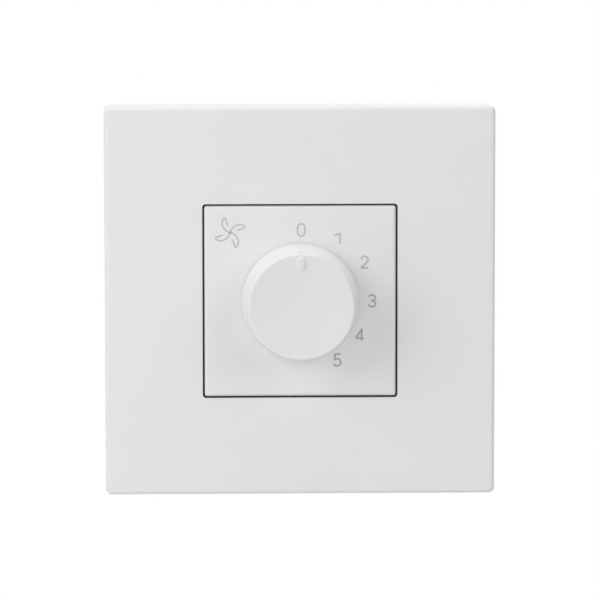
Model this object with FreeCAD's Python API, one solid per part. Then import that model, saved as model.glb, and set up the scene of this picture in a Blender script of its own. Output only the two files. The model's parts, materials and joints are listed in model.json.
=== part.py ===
import FreeCAD, Part

import math
import os

# A five-speed rotary fan switch behind a square wall plate, in millimetres.
# The wall is the plane y = 0, the room is at -Y and the wall box at +Y.
# Seen from the room, +X is to the right and +Z is up. The knob turns about the Y axis.
# Angles on the dial are in degrees clockwise from the top.

# Clearances
FACE_GAP = 0.05         # between faces that lie on each other
SIDE_GAP = 0.2          # between moulded pieces that fit into each other
RUNNING_GAP = 0.05      # round a shaft in its bearing
TIGHT_GAP = 0.02        # round pins, rivets and screws that are fixed
MOVING_GAP = 0.3        # between pieces that turn and pieces that do not

# Cover plate
PLATE_SIDE = 91.6
PLATE_DEPTH = 8.0       # from the wall to the front face
PLATE_FACE = 2.0
PLATE_SKIRT = 1.8
PLATE_EDGE_R = 1.0
CORNER_EXTRA = 0.3      # what a corner's radius has more than its edge's
PLATE_WALL_GAP = 0.3
WINDOW_LIP = 0.9
WINDOW_GAP = 0.45       # the dark line round the dial
WINDOW_CORNER_R = 0.8
PRY_NOTCH_W = 8.0
PRY_NOTCH_D = 1.0
HOOK_W = 6.0
HOOK_T = 1.2
HOOK_NOSE = 0.6
HOOK_X = 20.0
HOOK_INSET = 8.0        # from the frame's edge to the middle of a hook
RIB_T = 1.0
RIB_X = 30.0
RIB_GAP = 0.3

# Support frame
FRAME_INSET = 2.0       # from the plate's skirt to the frame's edge
FRAME_FLANGE = 2.5
FRAME_CORNER_R = 4.0
FRAME_LIP_H = 1.5
FRAME_LIP_T = 1.2
POCKET_D = 1.0
POCKET_EDGE = 2.8       # what is left beside a pocket
RIM_WALL = 1.8
RIM_FIT = 0.1           # between the rim and the dial cover
LEDGE_T = 2.0
FIXING_PITCH = 60.3
FIXING_SLOT_W = 4.0
FIXING_SLOT_L = 7.5

# Dial cover
MODULE = 22.5
MODULE_FIT = 0.1
DIAL_PROUD = 0.2
DIAL_FACE = 2.0
DIAL_EDGE_R = 0.9
DIAL_CORNER_R = 0.65
DIAL_RIM = 3.2          # depth of the part that fills the window
DIAL_STEP = 0.95        # how far that part overhangs the housing
DIAL_SKIRT = 1.5
BUSH_R = 5.0
BUSH_FRONT = 3.0
BUSH_REAR = 3.0
POST_R = 2.5            # half the side of a post
POST_HOLE_DEPTH = 9.5

# Knob
KNOB_BASE_R = 13.7
KNOB_FRONT_R = 12.45
KNOB_HEIGHT = 12.5      # front rim above the dial
KNOB_GAP = 0.35         # skirt above the dial
KNOB_EDGE_R = 0.5
KNOB_DISH = 0.65
KNOB_WALL = 1.6
KNOB_TOP = 2.0
HUB_R = 4.9
HUB_GAP = 0.5           # hub above the bush
KNOB_RIBS = 6
KNOB_RIB_T = 1.0
KNOB_RIB_H = 4.5
POINTER_W = 1.9
POINTER_LENGTH = 3.65
POINTER_RAISE = 0.5
INDEX_W = 1.5           # shallow notch in the side, in line with the pointer
INDEX_START = 0.8       # from the knob's front
INDEX_LENGTH = 1.6
INDEX_DEPTH = 0.4
GRIP_W = 3.2
GRIP_T = 0.3
GRIP_BOW = 0.4
GRIP_POCKET = 1.0

# Shaft
SHAFT_R = 3.0
SHAFT_FLAT = 1.6        # from the axis to the flat
TAIL_R = 2.0
BORE_END_GAP = 0.3
END_PLAY = 0.1          # rotor behind the bush

# Rotor and detent
STEPS = 5
STEP_ANGLE = 30.0
STAR_R = 9.0
STAR_T = 3.0
LOBES = 12
HOLLOW_R = 1.9
HOLLOW_DEPTH = 0.95
LUG_T = 1.7
LUG_W = 2.8
LUG_END_R = 12.6
DRIVE_SIDE = 7.0        # square hub that turns the wiper
DETENT_T = 0.4
DETENT_W = 2.4
DETENT_GAP = 0.15
NOSE_TIP = 0.8
NOSE_REACH = 1.9
NOSE_SLOPE = 0.6        # half width gained for each millimetre of reach
ARM_TAIL = 3.0
ARM_BEND = 3.0
BRIDGE_Z = 13.0
RIB_FOR_SPRING_W = 8.0
RIB_FOR_SPRING_T = 1.2

# Contacts
WIPER_T = 0.4
WIPER_RIM = 1.8         # beside the square hole
FINGER_R = 9.0
FINGER_W = 2.0
FINGER_SPAN = 70.0
FINGER_TILT = 12.0
FINGER_ROOT = 16.0
FINGER_END = 6.0        # degrees that a finger runs past its tip
TIP_W = 1.2
TIP_H = 0.7
CONTACT_GAP = 0.1
PAD_W = 2.4
PAD_SPAN = 18.0         # degrees
PAD_T = 0.4
WAFER_SIDE = 28.0
WAFER_CORNER = 4.0
WAFER_T = 2.0
STOP_W = 2.4
STOP_CIRCLE = 11.8
STOP_GAP = 0.15
FOOT_W = 3.0
FOOT_H = 1.6

# Board and what it carries
BOARD_T = 1.6
LEAD_W = 0.7
CAPACITOR_STANDOFF = 0.8
CAPACITOR_LENGTH = 26.0
CAPACITOR_PITCH = 22.5
CAPACITOR_EDGE_R = 0.6
MAIN_DEPTH = 16.0
MAIN_THICK = 10.0
MAIN_Z = 13.6
TRIM_DEPTH = 15.0
TRIM_THICK = 8.0
TRIM_Z = 3.6
RESISTOR_PITCH = 12.0
RESISTOR_X = 7.5
INRUSH_LENGTH = 9.0
INRUSH_SIDE = 4.0
INRUSH_Z = -3.4
BLEED_LENGTH = 6.0
BLEED_R = 1.1
BLEED_Z = -8.0
RESISTOR_LIFT = 0.7     # body above the board
TERMINAL_PITCH = 16.0
CAGE_W = 8.0
CAGE_LENGTH = 9.5
CAGE_H = 8.6
CAGE_TOP = 1.6
TUNNEL_SIDE = 4.2
CLAMP_R = 1.75
CLAMP_LENGTH = 4.0
CLAMP_SLOT_W = 0.7
CLAMP_SLOT_D = 0.8
TAB_W = 2.0
TAB_T = 1.0
TAB_PROUD = 1.0         # in front of the board

# Rear housing
HOUSING_WALL = 1.6
HOUSING_REAR = 2.4
HOUSING_EDGE_R = 1.0
HOUSING_END_GAP = 0.4   # behind the longest component
PILLAR_EXTRA = 0.4      # a screw pillar's half side over that of a post
WIRE_ENTRY_R = 1.8
ACCESS_GAP = 0.45
BARRIER_T = 1.2
NOSE_W = 7.0
NOSE_X = 10.0
NOSE_H = 0.7
NOSE_LENGTH = 4.5
GAUGE_LENGTH = 10.0
GAUGE_W = 2.4
GAUGE_DEPTH = 0.4
SCREW_R = 1.25
SCREW_HEAD_R = 2.2
SCREW_HEAD_T = 1.6
SCREW_RECESS_W = 0.7
SCREW_RECESS_L = 2.4
SCREW_RECESS_D = 0.9
SCREW_BITE = 8.0
SCREW_FREE_GAP = 0.2
HEAD_SINK = 0.4

# Sides that follow
PLATE_INNER = PLATE_SIDE - 2 * PLATE_SKIRT
FRAME_SIDE = PLATE_INNER - 2 * FRAME_INSET
DIAL_SIDE = 2 * MODULE - MODULE_FIT
WINDOW_SIDE = DIAL_SIDE + 2 * WINDOW_GAP
RIM_INNER = DIAL_SIDE + 2 * RIM_FIT
RIM_OUTER = RIM_INNER + 2 * RIM_WALL
HOUSING_SIDE = DIAL_SIDE - 2 * DIAL_STEP
HOUSING_INNER = HOUSING_SIDE - 2 * HOUSING_WALL
BOARD_SIDE = HOUSING_INNER - 2 * SIDE_GAP
POST_AT = HOUSING_INNER / 2 - SIDE_GAP - POST_R
HOOK_Z = FRAME_SIDE / 2 - HOOK_INSET
CAGE_Z = -HOUSING_INNER / 2 + SIDE_GAP + CAGE_H / 2
WIRE_Z = CAGE_Z + CAGE_H / 2 - CAGE_TOP - TUNNEL_SIDE / 2

# Depths that follow, from the room towards the wall box
PLATE_Y = -PLATE_DEPTH
PLATE_BACK_Y = PLATE_Y + PLATE_FACE
RIM_Y = PLATE_Y + WINDOW_LIP + FACE_GAP
DIAL_Y = PLATE_Y - DIAL_PROUD
DIAL_BACK_Y = DIAL_Y + DIAL_FACE
LEDGE_Y = DIAL_Y + DIAL_RIM
SPLIT_Y = LEDGE_Y + DIAL_SKIRT
KNOB_FRONT_Y = DIAL_Y - KNOB_HEIGHT
KNOB_BASE_Y = DIAL_Y - KNOB_GAP
KNOB_INSIDE_Y = KNOB_FRONT_Y + KNOB_TOP
BUSH_Y = DIAL_Y - BUSH_FRONT
HUB_Y = BUSH_Y - HUB_GAP
SHAFT_Y = KNOB_INSIDE_Y + BORE_END_GAP
BUSH_REAR_Y = DIAL_BACK_Y + BUSH_REAR
ROTOR_Y = BUSH_REAR_Y + END_PLAY
LUG_Y = ROTOR_Y + STAR_T
ROTOR_REAR_Y = LUG_Y + LUG_T
WIPER_Y = ROTOR_REAR_Y + FACE_GAP
WIPER_REAR_Y = WIPER_Y + WIPER_T
FINGER_ARM = FINGER_R * math.sin(math.radians(FINGER_SPAN)) + TIP_W / 2
FINGER_REACH = FINGER_ARM * math.sin(math.radians(FINGER_TILT))
CONTACT_Y = WIPER_REAR_Y + FINGER_REACH + TIP_H + CONTACT_GAP
WAFER_Y = CONTACT_Y + PAD_T
WAFER_REAR_Y = WAFER_Y + WAFER_T
BOARD_Y = WAFER_REAR_Y + FOOT_H + FACE_GAP
BOARD_REAR_Y = BOARD_Y + BOARD_T
INSIDE_Y = BOARD_REAR_Y + CAPACITOR_STANDOFF + max(MAIN_DEPTH, TRIM_DEPTH) + HOUSING_END_GAP
REAR_Y = INSIDE_Y + HOUSING_REAR
CAGE_REAR_Y = INSIDE_Y - SIDE_GAP
CAGE_Y = CAGE_REAR_Y - CAGE_LENGTH

ORIGIN = FreeCAD.Vector(0, 0, 0)
ALONG_X = FreeCAD.Vector(1, 0, 0)
ALONG_Y = FreeCAD.Vector(0, 1, 0)
ALONG_Z = FreeCAD.Vector(0, 0, 1)


def block(width, height, y0, y1, x=0.0, z=0.0):
    """Box of that width and height, centred on x and z, from y0 to y1."""
    corner = FreeCAD.Vector(x - width / 2, y0, z - height / 2)
    return Part.makeBox(width, y1 - y0, height, corner)


def rod(radius, y0, y1, x=0.0, z=0.0):
    """Cylinder along Y."""
    return Part.makeCylinder(radius, y1 - y0, FreeCAD.Vector(x, y0, z), ALONG_Y)


def rounded(width, height, radius, y0, y1, x=0.0, z=0.0):
    """Box along Y with its four corner edges rounded."""
    solid = block(width, height, y0, y1, x, z)
    corners = [e for e in solid.Edges if abs(e.Vertexes[0].Y - e.Vertexes[1].Y) > (y1 - y0) / 2]
    return solid.makeFillet(radius, corners)


def soften(solid, radius, y):
    """Fillet of all edges that lie in the plane at y."""
    edges = [e for e in solid.Edges if all(abs(v.Y - y) < 1e-6 for v in e.Vertexes)]
    return solid.makeFillet(radius, edges)


def place(radius, angle):
    """x and z of a point on the dial."""
    turn = math.radians(angle)
    return radius * math.sin(turn), radius * math.cos(turn)


def turned(solid, angle):
    """Copy turned clockwise about the knob's axis."""
    return solid.rotated(ORIGIN, ALONG_Y, angle)


def joined(solids):
    """One solid from several that overlap."""
    whole = solids[0].multiFuse(solids[1:])
    return whole.removeSplitter()


def prism(points, direction):
    """Flat outline through the points, drawn out along the direction."""
    outline = Part.makePolygon(points + points[:1])
    return Part.Face(outline).extrude(direction)


def d_rod(radius, flat, y0, y1):
    """Rod with a flat on its lower side, at that distance from the axis."""
    size = 2 * radius
    below = block(2 * size, size, y0, y1, 0, -flat - size / 2)
    return rod(radius, y0, y1).cut(below)


def sector(inner, outer, start, span, y0, y1):
    """Part of a ring, clockwise from the start angle."""
    x0, z0 = place(inner, start)
    x1, z1 = place(outer, start)
    line = Part.makeLine(FreeCAD.Vector(x0, y0, z0), FreeCAD.Vector(x1, y0, z1))
    face = line.extrude(FreeCAD.Vector(0, y1 - y0, 0))
    return face.revolve(ORIGIN, ALONG_Y, span)


def corners(distance):
    """The four corners of a square about the axis."""
    return [(sx * distance, sz * distance) for sx in (-1, 1) for sz in (-1, 1)]


def screw_places():
    """The two opposite corners, upper left and lower right, that have a housing screw."""
    return [(-POST_AT, POST_AT), (POST_AT, -POST_AT)]


def snap_hook(x, side):
    """Leg behind the plate's face with a nose that catches the frame from inside its window."""
    z = side * HOOK_Z
    catch = -FRAME_FLANGE / 2 + FACE_GAP
    end = -PLATE_WALL_GAP
    leg = block(HOOK_W, HOOK_T, PLATE_BACK_Y - FACE_GAP, end, x, z)
    foot = z + side * HOOK_T / 2
    points = [
        FreeCAD.Vector(x - HOOK_W / 2, catch, foot),
        FreeCAD.Vector(x - HOOK_W / 2, catch, foot + side * HOOK_NOSE),
        FreeCAD.Vector(x - HOOK_W / 2, end, foot + side * HOOK_NOSE / 4),
        FreeCAD.Vector(x - HOOK_W / 2, end, foot),
    ]
    return leg.fuse(prism(points, FreeCAD.Vector(HOOK_W, 0, 0)))


def cover_plate():
    """Shallow square shell with a rebated window, four snap hooks and locating ribs."""
    corner_r = PLATE_EDGE_R + CORNER_EXTRA
    shell = rounded(PLATE_SIDE, PLATE_SIDE, corner_r, PLATE_Y, -PLATE_WALL_GAP)
    shell = soften(shell, PLATE_EDGE_R, PLATE_Y)
    shell = shell.cut(rounded(PLATE_INNER, PLATE_INNER, corner_r, PLATE_BACK_Y, 0))
    shell = shell.cut(rounded(WINDOW_SIDE, WINDOW_SIDE, WINDOW_CORNER_R, PLATE_Y - 1, 0))
    rebate = RIM_OUTER + 2 * SIDE_GAP
    shell = shell.cut(block(rebate, rebate, PLATE_Y + WINDOW_LIP, 0))
    notch = block(PRY_NOTCH_W, 3 * PLATE_SKIRT, -PLATE_WALL_GAP - PRY_NOTCH_D, 0, 0, -PLATE_SIDE / 2)
    shell = shell.cut(notch)
    hooks = [snap_hook(x, side) for x in (-HOOK_X, HOOK_X) for side in (-1, 1)]
    reach = FRAME_INSET - RIB_GAP
    rib = block(RIB_T, 2 * reach, PLATE_BACK_Y - FACE_GAP, -FRAME_FLANGE / 2, RIB_X, PLATE_INNER / 2)
    mirror_rib = rib.translated(FreeCAD.Vector(-2 * RIB_X, 0, 0))
    ribs = [turned(r, quarter * 90) for r in (rib, mirror_rib) for quarter in range(4)]
    return joined([shell] + hooks + ribs)


def fixing_slot(x):
    """Long hole for a wall screw."""
    straight = FIXING_SLOT_L - FIXING_SLOT_W
    ends = [rod(FIXING_SLOT_W / 2, -FRAME_FLANGE - 1, 1, x + s * straight / 2) for s in (-1, 1)]
    middle = block(straight, FIXING_SLOT_W, -FRAME_FLANGE - 1, 1, x)
    return joined(ends + [middle])


def frame_pockets():
    """Shallow pockets that lighten the flange from behind, beside the rim and in the corners."""
    middle = (FRAME_SIDE + RIM_OUTER) / 4
    width = (FRAME_SIDE - RIM_OUTER) / 2 - 2 * POCKET_EDGE
    long = 2 * (HOOK_X - HOOK_W / 2 - POCKET_EDGE)
    side_start = FIXING_SLOT_W / 2 + 2 * POCKET_EDGE
    side_end = middle - width / 2 - POCKET_EDGE
    pockets = []
    for side in (-1, 1):
        pockets.append(block(long, width, -POCKET_D, 1, 0, side * middle))
        for level in (-1, 1):
            x = side * middle
            z = level * (side_start + side_end) / 2
            pockets.append(block(width, side_end - side_start, -POCKET_D, 1, x, z))
            pockets.append(block(width, width, -POCKET_D, 1, x, level * middle))
    return pockets


def support_frame():
    """Flange with a square rim that holds the switch and stepped windows for the plate's hooks."""
    flange = rounded(FRAME_SIDE, FRAME_SIDE, FRAME_CORNER_R, -FRAME_FLANGE, 0)
    lip = rounded(FRAME_SIDE, FRAME_SIDE, FRAME_CORNER_R, -FRAME_FLANGE - FRAME_LIP_H, -FRAME_FLANGE)
    lip_inner = FRAME_SIDE - 2 * FRAME_LIP_T
    lip_r = FRAME_CORNER_R - FRAME_LIP_T
    lip = lip.cut(rounded(lip_inner, lip_inner, lip_r, -FRAME_FLANGE - FRAME_LIP_H, -FRAME_FLANGE))
    rim = block(RIM_OUTER, RIM_OUTER, RIM_Y, -FRAME_FLANGE)
    solid = joined([flange, lip, rim])
    solid = solid.cut(block(RIM_INNER, RIM_INNER, RIM_Y, LEDGE_Y + FACE_GAP))
    passage = HOUSING_SIDE + 2 * SIDE_GAP
    solid = solid.cut(block(passage, passage, RIM_Y, 1))
    solid = solid.cut(block(RIM_INNER, RIM_INNER, LEDGE_Y + LEDGE_T, 1))
    for x in (-HOOK_X, HOOK_X):
        for side in (-1, 1):
            width = HOOK_W + 2 * SIDE_GAP
            height = HOOK_T + 2 * SIDE_GAP
            solid = solid.cut(block(width, height, -FRAME_FLANGE - 1, 1, x, side * HOOK_Z))
            z = side * (HOOK_Z + HOOK_NOSE / 2)
            solid = solid.cut(block(width, height + HOOK_NOSE, -FRAME_FLANGE / 2, 1, x, z))
    for side in (-1, 1):
        solid = solid.cut(fixing_slot(side * FIXING_PITCH / 2))
    return solid.cut(frame_pockets()).removeSplitter()


def spring_rib(z):
    """Rib behind the dial that guides the bridge of the detent spring."""
    middle = ROTOR_Y + STAR_T / 2
    return block(RIB_FOR_SPRING_W, RIB_FOR_SPRING_T, DIAL_BACK_Y - FACE_GAP, middle + DETENT_W / 2, 0, z)


def dial_cover():
    """Square insert with the shaft's bearing, four screw posts and the seat of the detent spring."""
    face = block(DIAL_SIDE, DIAL_SIDE, DIAL_Y, LEDGE_Y)
    face = soften(face, DIAL_EDGE_R, DIAL_Y)
    face = face.common(rounded(DIAL_SIDE, DIAL_SIDE, DIAL_CORNER_R, DIAL_Y, LEDGE_Y))
    skirt = block(HOUSING_SIDE, HOUSING_SIDE, LEDGE_Y, SPLIT_Y - FACE_GAP)
    inside = HOUSING_INNER + SIDE_GAP
    shell = face.fuse(skirt).cut(block(inside, inside, DIAL_BACK_Y, SPLIT_Y))
    bush = rod(BUSH_R, BUSH_Y, BUSH_REAR_Y)
    side = 2 * POST_R
    posts = [block(side, side, DIAL_BACK_Y - FACE_GAP, BOARD_Y - FACE_GAP, x, z) for x, z in corners(POST_AT)]
    inner_rib = spring_rib(BRIDGE_Z - DETENT_T / 2 - TIGHT_GAP - RIB_FOR_SPRING_T / 2)
    outer_rib = spring_rib(BRIDGE_Z + DETENT_T / 2 + TIGHT_GAP + RIB_FOR_SPRING_T / 2)
    solid = joined([shell, bush, inner_rib, outer_rib] + posts)
    solid = solid.cut(rod(SHAFT_R + RUNNING_GAP, BUSH_Y - 1, BUSH_REAR_Y + 1))
    for x, z in screw_places():
        solid = solid.cut(rod(SCREW_R + TIGHT_GAP, BOARD_Y - POST_HOLE_DEPTH, BOARD_Y, x, z))
    return solid


def knob_outside(extra):
    """Solid of the knob's outer form, grown by extra: tapered side, edge in two bevels and dished front."""
    base_r = KNOB_BASE_R + extra
    front_r = KNOB_FRONT_R + extra
    front_y = KNOB_FRONT_Y - extra
    taper = math.atan2(base_r - front_r, KNOB_BASE_Y - front_y)
    cut_back = KNOB_EDGE_R * math.tan((math.pi / 2 - taper) / 2)
    side_end = FreeCAD.Vector(front_r + cut_back * math.sin(taper), front_y + cut_back * math.cos(taper), 0)
    face_end = FreeCAD.Vector(front_r - cut_back, front_y, 0)
    centre = FreeCAD.Vector(face_end.x, front_y + KNOB_EDGE_R, 0)
    lean = math.radians(45) + taper / 2
    middle = centre + FreeCAD.Vector(math.cos(lean), -math.sin(lean), 0) * KNOB_EDGE_R
    base = FreeCAD.Vector(base_r, KNOB_BASE_Y, 0)
    foot = FreeCAD.Vector(0, KNOB_BASE_Y, 0)
    top = FreeCAD.Vector(0, front_y, 0)
    outline = Part.makePolygon([foot, base, side_end, middle, face_end, top, foot])
    body = Part.Face(outline).revolve(ORIGIN, ALONG_Y, 360)
    dish_r = (face_end.x ** 2 + KNOB_DISH ** 2) / (2 * KNOB_DISH)
    return body.cut(Part.makeSphere(dish_r, FreeCAD.Vector(0, front_y + KNOB_DISH - dish_r, 0)))


def knob_pointer():
    """Bar with two round ends that follows the dished front and stops at the knob's edge."""
    y0 = KNOB_FRONT_Y - 2 * POINTER_RAISE
    y1 = KNOB_FRONT_Y + KNOB_TOP / 2
    outer = KNOB_FRONT_R - KNOB_EDGE_R - POINTER_W / 2
    inner = outer - POINTER_LENGTH + POINTER_W
    bar = block(POINTER_W, outer - inner, y0, y1, 0, (outer + inner) / 2)
    ends = [rod(POINTER_W / 2, y0, y1, 0, z) for z in (outer, inner)]
    return joined([bar] + ends).common(knob_outside(POINTER_RAISE))


def index_notch():
    """Shallow notch in the knob's side, behind the pointer."""
    y0 = KNOB_FRONT_Y + INDEX_START
    y1 = y0 + INDEX_LENGTH
    share = (INDEX_START + INDEX_LENGTH / 2) / (KNOB_BASE_Y - KNOB_FRONT_Y)
    side_r = KNOB_FRONT_R + share * (KNOB_BASE_R - KNOB_FRONT_R)
    return block(INDEX_W, 2 * INDEX_DEPTH, y0, y1, 0, side_r)


def knob():
    """Hollow tapered knob with a pointer, a D-bored hub, ribs and a pocket for the grip spring."""
    core_r = KNOB_FRONT_R - KNOB_WALL
    shell = knob_outside(0).cut(rod(core_r, KNOB_INSIDE_Y, KNOB_BASE_Y))
    hub = rod(HUB_R, KNOB_INSIDE_Y - FACE_GAP, HUB_Y)
    rib_end = KNOB_INSIDE_Y + KNOB_RIB_H
    length = core_r + KNOB_WALL / 2
    rib = block(KNOB_RIB_T, length, KNOB_INSIDE_Y - FACE_GAP, rib_end, 0, length / 2)
    ribs = [turned(rib, i * 360 / KNOB_RIBS) for i in range(KNOB_RIBS)]
    solid = joined([shell, hub, knob_pointer()] + ribs)
    bore = d_rod(SHAFT_R + RUNNING_GAP, SHAFT_FLAT + RUNNING_GAP, KNOB_INSIDE_Y, HUB_Y + 1)
    pocket_z = -SHAFT_FLAT - GRIP_POCKET / 2
    pocket = block(GRIP_W + 2 * SIDE_GAP, GRIP_POCKET + 2 * RUNNING_GAP, KNOB_INSIDE_Y, HUB_Y + 1, 0, pocket_z)
    return solid.cut(bore.fuse(pocket)).cut(index_notch())


def knob_grip_spring():
    """Bowed leaf between the flat of the shaft and the pocket in the knob's hub."""
    x = -GRIP_W / 2
    y0 = SHAFT_Y
    y1 = HUB_Y - BORE_END_GAP
    low = -SHAFT_FLAT - RUNNING_GAP - GRIP_T - GRIP_BOW
    top = low + GRIP_T
    middle = (y0 + y1) / 2
    outer = Part.Arc(
        FreeCAD.Vector(x, y0, low), FreeCAD.Vector(x, middle, low + GRIP_BOW), FreeCAD.Vector(x, y1, low))
    inner = Part.Arc(
        FreeCAD.Vector(x, y1, top), FreeCAD.Vector(x, middle, top + GRIP_BOW), FreeCAD.Vector(x, y0, top))
    outline = Part.Wire([
        outer.toShape(),
        Part.makeLine(FreeCAD.Vector(x, y1, low), FreeCAD.Vector(x, y1, top)),
        inner.toShape(),
        Part.makeLine(FreeCAD.Vector(x, y0, top), FreeCAD.Vector(x, y0, low)),
    ])
    return Part.Face(outline).extrude(FreeCAD.Vector(GRIP_W, 0, 0))


def switch_shaft():
    """Round shaft with a flat for the knob, another for the rotor and a thinner tail."""
    front = d_rod(SHAFT_R, SHAFT_FLAT, SHAFT_Y, HUB_Y + HUB_GAP / 2)
    bearing = rod(SHAFT_R, HUB_Y + HUB_GAP / 2, BUSH_REAR_Y)
    drive = d_rod(SHAFT_R, SHAFT_FLAT, BUSH_REAR_Y, ROTOR_REAR_Y)
    tail = rod(TAIL_R, ROTOR_REAR_Y, BOARD_REAR_Y - FACE_GAP)
    return joined([front, bearing, drive, tail])


def rotor():
    """Star with a hollow for each step, an arm that ends in the stop lug and a square hub for the wiper."""
    star = rod(STAR_R, ROTOR_Y, LUG_Y)
    circle = STAR_R - HOLLOW_DEPTH + HOLLOW_R
    for i in range(LOBES):
        x, z = place(circle, 90 + i * 360 / LOBES)
        star = star.cut(rod(HOLLOW_R, ROTOR_Y, LUG_Y, x, z))
    arm = block(LUG_W, LUG_END_R, LUG_Y, ROTOR_REAR_Y, 0, -LUG_END_R / 2)
    seat_side = DRIVE_SIDE + 2 * WIPER_RIM
    seat = block(seat_side, seat_side, LUG_Y, ROTOR_REAR_Y)
    hub = block(DRIVE_SIDE, DRIVE_SIDE, LUG_Y, WIPER_REAR_Y + WIPER_T)
    solid = joined([star, arm, seat, hub])
    solid = solid.cut(d_rod(SHAFT_R + TIGHT_GAP, SHAFT_FLAT + TIGHT_GAP, ROTOR_Y - 1, ROTOR_REAR_Y + FACE_GAP))
    return solid.cut(rod(TAIL_R + RUNNING_GAP, ROTOR_REAR_Y, WIPER_REAR_Y + 2 * WIPER_T))


def detent_side(shift):
    """Right half of one face of the spring's strip, shift away from its middle line, from top to bottom."""
    tip_x = STAR_R - HOLLOW_DEPTH + DETENT_GAP + DETENT_T / 2
    arm_x = tip_x + NOSE_REACH
    nose_z = NOSE_TIP / 2 + NOSE_REACH * NOSE_SLOPE
    bend = shift * math.tan(math.pi / 8)
    return [
        (0, BRIDGE_Z + shift),
        (arm_x - ARM_BEND + bend, BRIDGE_Z + shift),
        (arm_x + shift, BRIDGE_Z - ARM_BEND + bend),
        (arm_x + shift, nose_z),
        (tip_x + shift, NOSE_TIP / 2),
        (tip_x + shift, -NOSE_TIP / 2),
        (arm_x + shift, -nose_z),
        (arm_x + shift, -nose_z - ARM_TAIL),
    ]


def detent_spring():
    """Bent strip: a bridge over the rotor and two arms, each with a nose in a hollow of the star."""
    outer = detent_side(DETENT_T / 2)
    inner = detent_side(-DETENT_T / 2)
    y = ROTOR_Y + STAR_T / 2 - DETENT_W / 2
    points = [FreeCAD.Vector(x, y, z) for x, z in outer + inner[::-1]]
    half = prism(points, FreeCAD.Vector(0, DETENT_W, 0))
    return joined([half, half.mirror(ORIGIN, ALONG_X)])


def wiper_finger():
    """Tilted arc with a bump at its tip, from its root beside the plate to the top of the dial."""
    inner = FINGER_R - FINGER_W / 2
    outer = FINGER_R + FINGER_W / 2
    arc = sector(inner, outer, -FINGER_SPAN, FINGER_SPAN + FINGER_END, WIPER_Y, WIPER_REAR_Y)
    tip = block(TIP_W, TIP_W, WIPER_REAR_Y - WIPER_T / 2, WIPER_REAR_Y + TIP_H, 0, FINGER_R)
    x, z = place(1, -FINGER_SPAN)
    hinge = FreeCAD.Vector(0, WIPER_Y + WIPER_T / 2, 0)
    bent = arc.fuse(tip).rotated(hinge, FreeCAD.Vector(x, 0, z), FINGER_TILT)
    start = DRIVE_SIDE / 2 + TIGHT_GAP
    root = sector(start, outer, -FINGER_SPAN - FINGER_ROOT, FINGER_ROOT, WIPER_Y, WIPER_REAR_Y)
    return bent.fuse(root)


def wiper_contact():
    """Plate on the rotor's square hub with two opposite fingers."""
    hole = DRIVE_SIDE + 2 * TIGHT_GAP
    side = hole + 2 * WIPER_RIM
    plate = block(side, side, WIPER_Y, WIPER_REAR_Y)
    finger = wiper_finger()
    solid = joined([plate, finger, turned(finger, 180)])
    return solid.cut(block(hole, hole, WIPER_Y - WIPER_T, WIPER_REAR_Y + WIPER_T))


def stop_pins():
    """Two square pins, each just clear of the stop lug at its end of the travel."""
    pins = []
    away = LUG_W / 2 + STOP_GAP + STOP_W / 2
    for side, angle in ((1, 0), (-1, STEPS * STEP_ANGLE)):
        pin = block(STOP_W, STOP_W, LUG_Y + LUG_T / 4, WAFER_Y + FACE_GAP, side * away, -STOP_CIRCLE)
        pins.append(turned(pin, angle))
    return pins


def contact_wafer():
    """Square base with cut corners, the tail's bearing, a bare land at 0, two stop pins and four feet."""
    plate = block(WAFER_SIDE, WAFER_SIDE, WAFER_Y, WAFER_REAR_Y)
    upright = [e for e in plate.Edges if abs(e.Vertexes[0].Y - e.Vertexes[1].Y) > WAFER_T / 2]
    solids = [plate.makeChamfer(WAFER_CORNER, upright), contact_pad(-PAD_SPAN / 2, PAD_SPAN, FACE_GAP)]
    solids += stop_pins()
    edge = WAFER_SIDE / 2 - FOOT_W / 2
    for x, z in ((-edge, 0), (edge, 0), (0, -edge), (0, edge)):
        solids.append(block(FOOT_W, FOOT_W, WAFER_REAR_Y - FACE_GAP, BOARD_Y - FACE_GAP, x, z))
    return joined(solids).cut(rod(TAIL_R + RUNNING_GAP, WAFER_Y - 1, BOARD_Y))


def contact_pad(start, span, sunk):
    """Piece of a ring in front of the wafer, under the path of the finger tips."""
    inner = FINGER_R - PAD_W / 2
    return sector(inner, inner + PAD_W, start, span, CONTACT_Y, WAFER_Y - FACE_GAP / 2 + sunk)


def step_contacts():
    """One pad for each speed."""
    starts = [(i + 1) * STEP_ANGLE - PAD_SPAN / 2 for i in range(STEPS)]
    return Part.makeCompound([contact_pad(start, PAD_SPAN, 0) for start in starts])


def common_contact():
    """Arc that one finger stays on over the whole travel."""
    return contact_pad(180 - PAD_SPAN / 2, STEPS * STEP_ANGLE + PAD_SPAN, 0)


def circuit_board():
    """Square board with holes for the screws and the shaft's tail and slots for the terminals' tabs."""
    board = block(BOARD_SIDE, BOARD_SIDE, BOARD_Y, BOARD_REAR_Y)
    cutters = [rod(SCREW_R + SCREW_FREE_GAP, BOARD_Y - 1, BOARD_REAR_Y + 1, x, z) for x, z in screw_places()]
    cutters.append(rod(TAIL_R + MOVING_GAP, BOARD_Y - 1, BOARD_REAR_Y + 1))
    for side in (-1, 1):
        width = TAB_W + 2 * TIGHT_GAP
        height = TAB_T + 2 * TIGHT_GAP
        x = side * TERMINAL_PITCH / 2
        cutters.append(block(width, height, BOARD_Y - 1, BOARD_REAR_Y + 1, x, CAGE_Z))
    return board.cut(cutters)


def lead(x, z, y):
    """Flat lead from the board's rear face up to y."""
    return block(LEAD_W, LEAD_W, BOARD_REAR_Y + FACE_GAP, y, x, z)


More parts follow.
